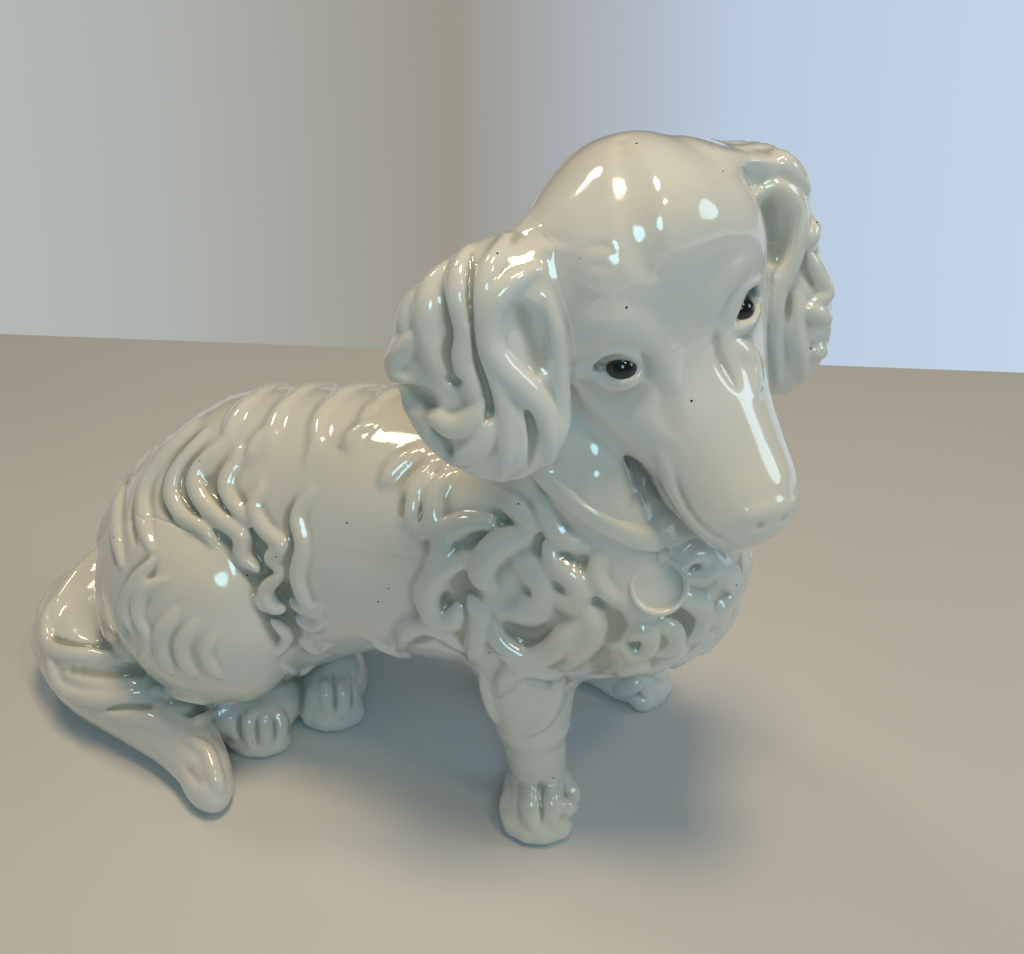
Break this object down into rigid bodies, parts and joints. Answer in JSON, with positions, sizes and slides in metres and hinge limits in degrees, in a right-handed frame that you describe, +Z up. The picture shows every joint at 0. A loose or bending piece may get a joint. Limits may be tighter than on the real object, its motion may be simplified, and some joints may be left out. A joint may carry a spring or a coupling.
{
  "type": "glazed ceramic dog figure",
  "caption": "Seated long-haired dog ornament in white glazed earthenware, head turned, tail laid round its side, with a collar and round tag; stands on a shelf or hearth.",
  "frame": {"origin": "on the ground under the middle of the figure's bounding box", "axes": "+X ahead of the dog, from rump to chest; +Y to the dog's left; +Z up"},
  "size_m": [0.375, 0.184, 0.3142],
  "materials": {
    "white_glaze": "gloss",
    "black_glaze": "gloss"
  },
  "bodies": {
    "root": {"body_shell": "white_glaze", "head_shell": "white_glaze", "ear_right": "white_glaze", "ear_left": "white_glaze", "eye_right": "black_glaze", "eye_left": "black_glaze", "collar": "white_glaze", "tag": "white_glaze", "tag_loop": "white_glaze", "foreleg_right": "white_glaze", "foreleg_left": "white_glaze", "thigh_right": "white_glaze", "thigh_left": "white_glaze", "hind_foot_right": "white_glaze", "hind_foot_left": "white_glaze", "tail": "white_glaze"}
  },
  "joints": []
}
